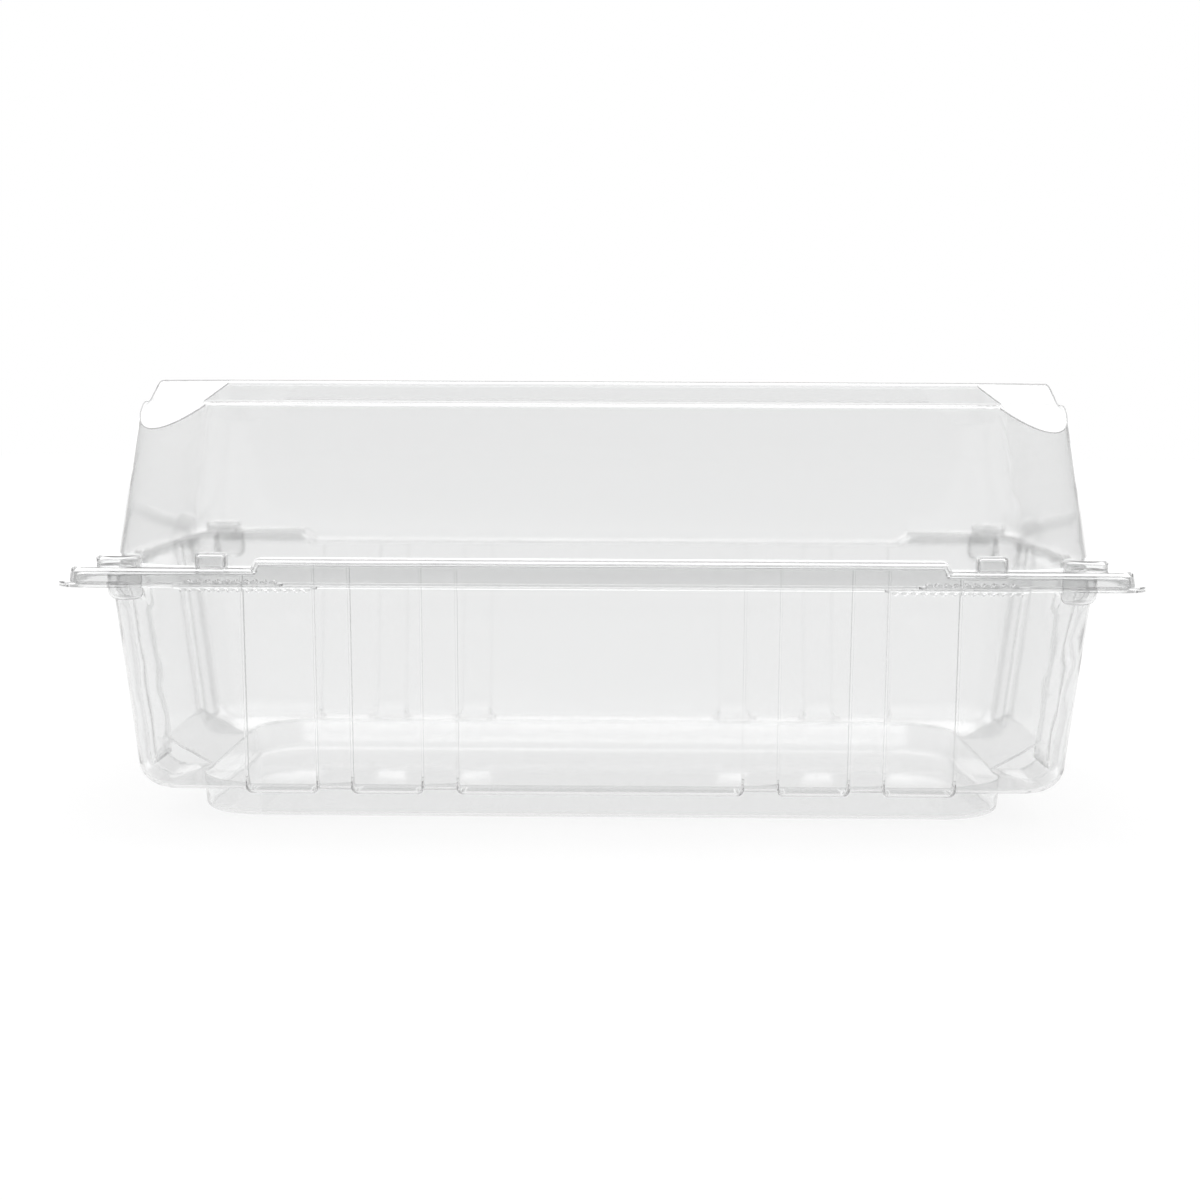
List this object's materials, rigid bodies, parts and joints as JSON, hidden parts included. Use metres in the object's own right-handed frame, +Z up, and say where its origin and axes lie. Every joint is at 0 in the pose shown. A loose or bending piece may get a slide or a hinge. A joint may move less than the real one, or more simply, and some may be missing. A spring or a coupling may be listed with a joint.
{
  "type": "plastic clamshell pack",
  "caption": "Clear hinged clamshell food pack: deep panelled tray on a pedestal foot, domed stacking lid with cut corners, snap rim and toothed finger tabs.",
  "frame": {"origin": "centre of the foot's underside, on the table", "axes": "+X along the pack's length, +Y towards the hinge, +Z up; the finger tabs are at -Y"},
  "size_m": [0.2424, 0.1432, 0.102],
  "materials": {
    "clear_sheet": "clear gloss"
  },
  "bodies": {
    "base": {"base_tray": "clear_sheet"},
    "lid": {"lid": "clear_sheet"}
  },
  "joints": [
    {"name": "lid_hinge", "type": "hinge", "parent": "base", "child": "lid", "pos_m": [0, 0.07045, 0.0565], "axis": [-1, 0, 0], "range_deg": [0, 180]}
  ]
}
